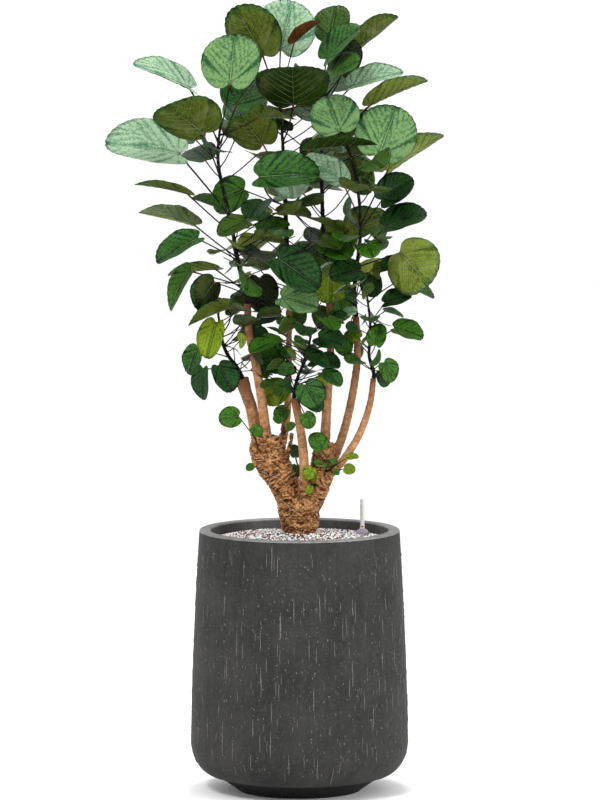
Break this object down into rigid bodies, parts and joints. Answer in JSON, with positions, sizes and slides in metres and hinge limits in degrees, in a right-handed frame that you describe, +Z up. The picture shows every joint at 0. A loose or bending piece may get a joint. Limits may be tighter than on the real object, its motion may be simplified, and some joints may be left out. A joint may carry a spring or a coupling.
{
  "type": "potted fabian aralia",
  "caption": "Indoor shrub with round leaves on slim dark shoots, a forked stubby trunk and tan stems, in a tall tapered charcoal planter with a water gauge.",
  "frame": {"origin": "centre of the flat underside of the pot's foot", "axes": "+Z up along the pot's axis, -Y towards the viewer of the picture, +X to the viewer's right"},
  "size_m": [0.718, 0.4768, 1.684],
  "materials": {
    "pot_charcoal": "matte",
    "granules": "matte",
    "bark": "matte",
    "foliage": "satin",
    "gauge_cap": "satin",
    "gauge_tube": "gloss"
  },
  "bodies": {
    "root": {"pot": "pot_charcoal", "growing_medium": "granules", "water_gauge_foot": "gauge_cap", "water_gauge_tube": "gauge_tube", "trunk": "bark", "stump_left": "bark", "stump_right": "bark", "stem_far_left": "bark", "stem_left": "bark", "stem_centre_left": "bark", "stem_front": "bark", "stem_centre_right": "bark", "stem_right": "bark", "stem_far_right": "bark", "foliage_far_left": "foliage", "foliage_left": "foliage", "foliage_centre_left": "foliage", "foliage_front": "foliage", "foliage_centre_right": "foliage", "foliage_right": "foliage", "foliage_far_right": "foliage", "sprout_left": "foliage", "sprout_right": "foliage"}
  },
  "joints": []
}
